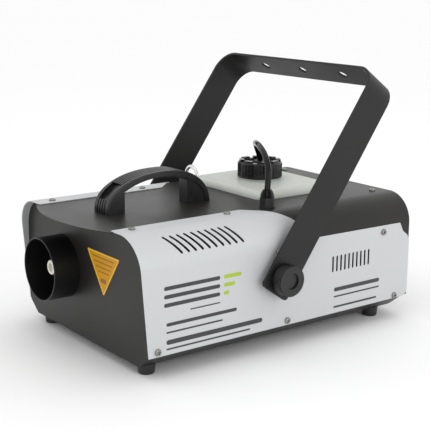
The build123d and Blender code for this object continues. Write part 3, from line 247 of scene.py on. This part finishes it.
ceramic = Finish("nozzle_ceramic", (0.80, 0.77, 0.68), 0.45)
ceramic.rounded(0.0004)
ceramic.tint(ceramic.spread(ceramic.noise(300, 4), 0.45, 0.75, 0.0, 0.6), (0.62, 0.58, 0.48))
ceramic.relief(ceramic.noise(900, 3), 0.0002, 0.4)


def metal(name, colour, dull, roughness):
    """Bare or plated metal with duller patches."""
    made = Finish(name, colour, roughness, Metallic=1.0)
    made.rounded(0.0003)
    made.tint(made.spread(made.noise(120, 4), 0.4, 0.7, 0.0, 0.6), dull)
    made.sheen_spread(made.noise(400, 3), roughness - 0.08, roughness + 0.1)
    made.relief(made.noise(1400, 2), 0.00006, 0.4)
    return made


zinc = metal("zinc_steel", (0.30, 0.295, 0.28), (0.19, 0.185, 0.175), 0.24)
nickel = metal("bright_nickel", (0.78, 0.77, 0.75), (0.66, 0.65, 0.63), 0.16)
cast_aluminium = metal("cast_aluminium", (0.55, 0.55, 0.55), (0.38, 0.38, 0.38), 0.55)
heater_steel = metal("heater_steel", (0.42, 0.38, 0.34), (0.25, 0.21, 0.18), 0.4)

mineral_wool = Finish("mineral_wool", (0.62, 0.58, 0.42), 0.95)
mineral_wool.tint(mineral_wool.spread(mineral_wool.noise(90, 6, (1, 6, 1)), 0.4, 0.7), (0.42, 0.38, 0.26))
mineral_wool.relief(mineral_wool.noise(300, 6, (1, 5, 1)), 0.002, 0.8)

circuit_board = Finish("circuit_board", (0.015, 0.12, 0.045), 0.38)
tracks = circuit_board.node("ShaderNodeTexBrick", offset=0.35)
tracks.inputs["Scale"].default_value = 260
tracks.inputs["Mortar Size"].default_value = 0.08
tracks.inputs["Color1"].default_value = (0, 0, 0, 1)
tracks.inputs["Color2"].default_value = (0.2, 0.2, 0.2, 1)
tracks.inputs["Mortar"].default_value = (1, 1, 1, 1)
circuit_board.link(circuit_board.place, tracks.inputs["Vector"])
circuit_board.tint(tracks.outputs["Color"], (0.04, 0.22, 0.09))
circuit_board.relief(tracks.outputs["Color"], 0.00008, 0.5)

display_glass = Finish("display_glass", (0.012, 0.02, 0.045), 0.08, Coat_Weight=0.5)
glass_patches = display_glass.spread(display_glass.noise(70, 2), 0.4, 0.7, 0.0, 0.6)
display_glass.tint(glass_patches, (0.02, 0.035, 0.075))
display_glass.sheen_spread(display_glass.noise(500, 3), 0.05, 0.14)

label_yellow = Finish("label_yellow", (0.56, 0.265, 0.002), 0.42, Specular_IOR_Level=0.2)
yellow_patches = label_yellow.spread(label_yellow.noise(60, 4), 0.35, 0.7, 0.0, 0.6)
label_yellow.tint(yellow_patches, (0.62, 0.305, 0.003))
label_yellow.sheen_spread(label_yellow.noise(200, 3), 0.3, 0.46)
label_yellow.relief(label_yellow.noise(500, 2), 0.00006, 0.4)

print_dark = Finish("print_dark", (0.030, 0.032, 0.036), 0.4)
print_dark.tint(print_dark.spread(print_dark.noise(400, 3), 0.45, 0.75, 0.0, 0.5), (0.055, 0.057, 0.062))
print_dark.sheen_spread(print_dark.noise(200, 3), 0.34, 0.5)

print_green = Finish("print_green", (0.33, 0.46, 0.02), 0.4)
print_green.tint(print_green.spread(print_green.noise(400, 3), 0.45, 0.75, 0.0, 0.5), (0.42, 0.56, 0.04))
print_green.sheen_spread(print_green.noise(200, 3), 0.34, 0.5)

print_amber = Finish("print_amber", (0.26, 0.10, 0.010), 0.5)
print_amber.tint(print_amber.spread(print_amber.noise(500, 3), 0.4, 0.7, 0.0, 0.6), (0.36, 0.15, 0.012))
print_amber.sheen_spread(print_amber.noise(200, 3), 0.4, 0.55)

print_border = Finish("print_border", (0.86, 0.60, 0.10), 0.4)
print_border.tint(print_border.spread(print_border.noise(500, 3), 0.4, 0.7, 0.0, 0.6), (0.92, 0.68, 0.16))
print_border.sheen_spread(print_border.noise(200, 3), 0.34, 0.5)

SLOT_FINISHES = {
    "charcoal_steel": charcoal,
    "silver_steel": silver,
    "black_steel": bracket_black,
    "shroud_steel": shroud_black,
    "black_plastic": black_plastic,
    "cap_plastic": cap_plastic,
    "tank_plastic": tank_plastic,
    "nozzle_ceramic": ceramic,
    "rubber": rubber,
    "hose": hose_black,
    "zinc_steel": zinc,
    "bright_nickel": nickel,
    "cast_aluminium": cast_aluminium,
    "heater_steel": heater_steel,
    "mineral_wool": mineral_wool,
    "coil_plastic": coil_plastic,
    "circuit_board": circuit_board,
    "bezel_plastic": bezel_plastic,
    "display_glass": display_glass,
    "button_rubber": button_rubber,
    "rocker_red": rocker_red,
    "label_yellow": label_yellow,
}
for part in frame["record"]["subparts"]:
    for holder in NODES[part["node"]].material_slots:
        holder.material = SLOT_FINISHES[part["material_slot"]].material


def placed(name, mesh, body, finish):
    """A new piece that rides on a body and takes its finish from a slot."""
    piece = bpy.data.objects.new(name, mesh)
    SCENE.collection.objects.link(piece)
    mesh.materials.append(finish.material)
    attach(piece, body)
    return piece


# ---- feed hose: from the cap's grommet to the gland on the cover ----
HOSE_DIAMETER = 7.4 * MM
HOSE_ROUTE = (  # x, y, z in mm, as in part.py
    (-20, 96.75, 198.5), (-16, 88.75, 211), (-6, 76.75, 221), (15, 60.75, 226),
    (44, 42.75, 228), (71, 30.75, 220), (85, 24.75, 203), (87, 20.75, 182.4),
)
hose_line = bpy.data.curves.new("hose_curve", "CURVE")
hose_line.dimensions = "3D"
hose_line.bevel_depth = HOSE_DIAMETER / 2
hose_line.bevel_resolution = 8
hose_line.resolution_u = 24
run = hose_line.splines.new("NURBS")
run.points.add(len(HOSE_ROUTE) - 1)
for point, spot in zip(run.points, HOSE_ROUTE):
    point.co = (*(Vector(spot) * MM), 1)
run.order_u = 3
run.use_endpoint_u = True
hose = placed("hose_tube", hose_line, "housing", hose_black)
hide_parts("feed_hose")


# ---- printed marks ----
def print_shapes(name, outlines, to_frame, body, finish, thickness=0.06 * MM):
    """Thin raised ink: each outline is a list of (across, up) in mm on the surface that to_frame places."""
    sheet = bmesh.new()
    for outline in outlines:
        corners = [sheet.verts.new(to_frame @ Vector((u * MM, v * MM, 0))) for u, v in outline]
        sheet.faces.new(corners)
    bmesh.ops.triangulate(sheet, faces=sheet.faces[:])
    raised = bmesh.ops.extrude_face_region(sheet, geom=sheet.faces[:])
    lift = to_frame.to_3x3() @ Vector((0, 0, thickness))
    lifted = [item for item in raised["geom"] if isinstance(item, bmesh.types.BMVert)]
    bmesh.ops.translate(sheet, verts=lifted, vec=lift)
    bmesh.ops.recalc_face_normals(sheet, faces=sheet.faces[:])
    mesh = bpy.data.meshes.new(name)
    sheet.to_mesh(mesh)
    sheet.free()
    return placed(name, mesh, body, finish)


def bar(left, right, bottom, top, steps=6):
    """A stripe with round ends."""
    radius = (top - bottom) / 2
    points = []
    for cu, cv, start in (
        (right - radius, top - radius, 0), (left + radius, top - radius, 90),
        (left + radius, bottom + radius, 180), (right - radius, bottom + radius, 270),
    ):
        for step in range(steps + 1):
            angle = radians(start + 90 * step / steps)
            points.append((cu + radius * cos(angle), cv + radius * sin(angle)))
    return points


# places in mm: along the side panel from its front edge, and up from the floor
FRONT = -183.25
PANEL_X = 137.3
DARK_BARS = (
    bar(20, 96, 101, 105.5), bar(20, 96, 91.5, 96), bar(20, 96, 82, 86.5), bar(55, 96, 73.5, 75),
    bar(23, 120, 60, 64), bar(23, 100, 52, 54),
    bar(23, 158, 39, 44.5), bar(23, 140, 33, 35),
)
REAR_BARS = (bar(271, 349, 55, 60), bar(271, 349, 47.5, 49.5), bar(271, 345, 34, 36.5))
GREEN_BARS = (bar(101, 126, 101, 105.5), bar(101, 117, 91.5, 96), bar(101, 109, 82, 86.5))
LABEL_FACE = FRONT - 0.4
BORDER_INSET = 0.9
BORDER_WIDTH = 0.8
LABEL_TOP = 126.0
LABEL_TIP = 75.6
LABEL_MIDDLE = 45.45
LABEL_HALF = 35.35


def label_outline(inset):
    """The label's triangle, moved in by the same distance on all three sides."""
    slope = LABEL_HALF / (LABEL_TOP - LABEL_TIP)
    side_shift = inset * (1 + slope**2) ** 0.5
    top = LABEL_TOP - inset
    half = LABEL_HALF - inset * slope - side_shift
    return ((LABEL_MIDDLE - half, top), (LABEL_MIDDLE, top - half / slope), (LABEL_MIDDLE + half, top))


def label_stripe(drop, height, share):
    """A plain stripe across the label, drop below its top edge, over a share of its width there."""
    top = LABEL_TOP - drop
    half = share * LABEL_HALF * (top - LABEL_TIP) / (LABEL_TOP - LABEL_TIP)
    return bar(LABEL_MIDDLE - half, LABEL_MIDDLE + half, top - height, top)


near_side = Matrix((
    (0, 0, 1, PANEL_X * MM), (1, 0, 0, FRONT * MM), (0, 1, 0, 0), (0, 0, 0, 1),
))
far_side = Matrix((
    (0, 0, -1, -PANEL_X * MM), (1, 0, 0, FRONT * MM), (0, 1, 0, 0), (0, 0, 0, 1),
))
for side, to_frame in (("right", near_side), ("left", far_side)):
    print_shapes(f"stripes_front_{side}", DARK_BARS, to_frame, "housing", print_dark)
    print_shapes(f"stripes_rear_{side}", REAR_BARS, to_frame, "housing", print_dark)
    print_shapes(f"stripes_accent_{side}", GREEN_BARS, to_frame, "housing", print_green)

front_face = Matrix((
    (1, 0, 0, 0), (0, 0, -1, LABEL_FACE * MM), (0, 1, 0, 0), (0, 0, 0, 1),
))
outer = label_outline(BORDER_INSET)
inner = label_outline(BORDER_INSET + BORDER_WIDTH)
border = [(outer[a], outer[b], inner[b], inner[a]) for a, b in ((0, 1), (1, 2), (2, 0))]
print_shapes("label_border", border, front_face, "housing", print_border)
print_shapes(
    "label_stripes",
    [label_stripe(5.5, 1.5, 0.72), label_stripe(11, 1.5, 0.70), label_stripe(16.5, 1.5, 0.68),
     label_stripe(22, 1.5, 0.62), label_stripe(30, 5.2, 0.45)],
    front_face, "housing", print_amber,
)

# ---- floor, world and lights ----
FLOOR_REACH = 30.0
ground = bmesh.new()
bmesh.ops.create_grid(ground, x_segments=1, y_segments=1, size=FLOOR_REACH)
ground_mesh = bpy.data.meshes.new("floor")
ground.to_mesh(ground_mesh)
ground.free()
floor = bpy.data.objects.new("floor", ground_mesh)
SCENE.collection.objects.link(floor)
floor_paint = Finish("floor_paint", (0.93, 0.93, 0.93), 0.8)
floor_paint.tint(floor_paint.spread(floor_paint.noise(0.7, 2), 0.3, 0.7, 0.0, 0.3), (0.95, 0.95, 0.95))
ground_mesh.materials.append(floor_paint.material)

world = bpy.data.worlds.new("studio")
world.use_nodes = True
world.node_tree.nodes["Background"].inputs["Color"].default_value = (1, 1, 1, 1)
world.node_tree.nodes["Background"].inputs["Strength"].default_value = 1.04
SCENE.world = world


def area_light(name, place, target, size, power):
    """A square light at a place in metres, facing the target, its power in watts."""
    lamp = bpy.data.lights.new(name, "AREA")
    lamp.shape = "SQUARE"
    lamp.size = size
    lamp.energy = power
    holder = bpy.data.objects.new(name, lamp)
    holder.location = place
    holder.rotation_euler = (Vector(place) - Vector(target)).to_track_quat("Z", "Y").to_euler()
    SCENE.collection.objects.link(holder)


area_light("overhead", (0.2, -0.1, 2.2), (0, 0, 0.1), 1.6, 3)
area_light("side", (2.1, 0.15, 0.6), (0, 0, 0.1), 1.4, 9)
SCENE.view_settings.view_transform = "Standard"
